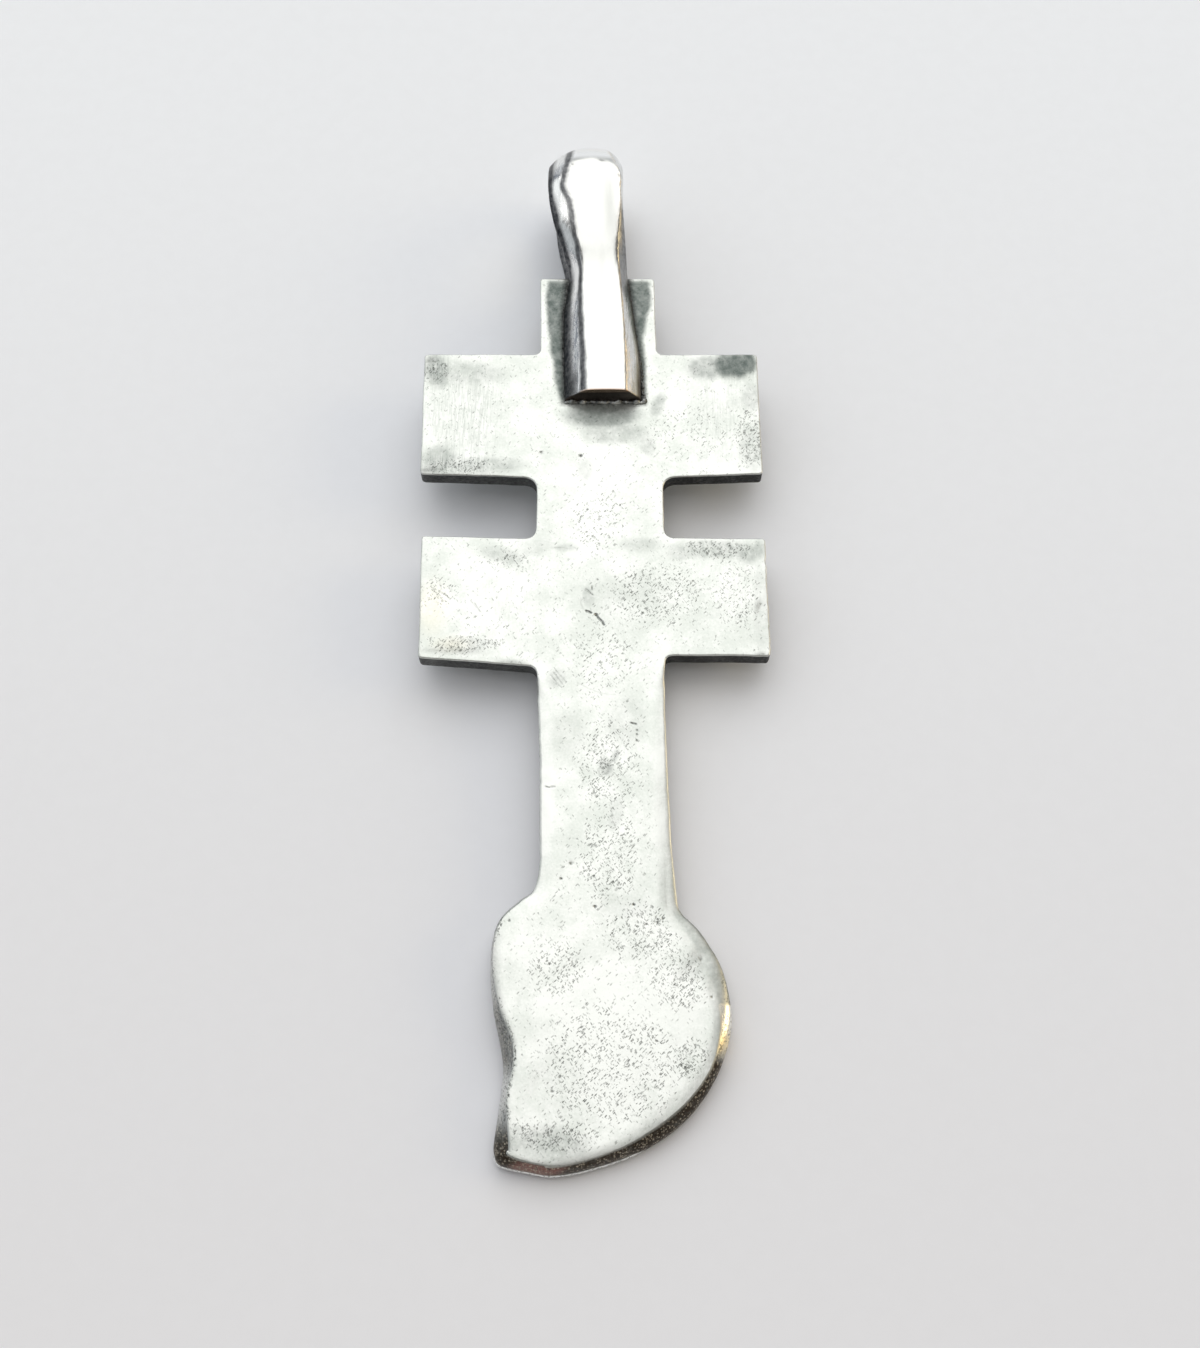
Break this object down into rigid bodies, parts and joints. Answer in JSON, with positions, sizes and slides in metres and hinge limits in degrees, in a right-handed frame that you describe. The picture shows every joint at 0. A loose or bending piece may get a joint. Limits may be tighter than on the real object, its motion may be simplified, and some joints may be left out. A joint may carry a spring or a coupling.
{
  "type": "double-barred cross pendant",
  "caption": "Flat cast silver pendant: a stem with two pairs of arms and a curved blade foot, with a strap bail soldered on its back to hang it from a chain.",
  "frame": {"origin": "on the surface that the pendant lies on, under the middle of its outline", "axes": "+Y up the stem to the bail, +Z out of the surface, on the pendant's back; +X to the right seen from the back"},
  "size_m": [0.0211, 0.065, 0.0075],
  "materials": {
    "silver": "satin cast silver, polished on the bail, dark patina on the edges"
  },
  "bodies": {
    "root": {"pendant": "silver"}
  },
  "joints": []
}
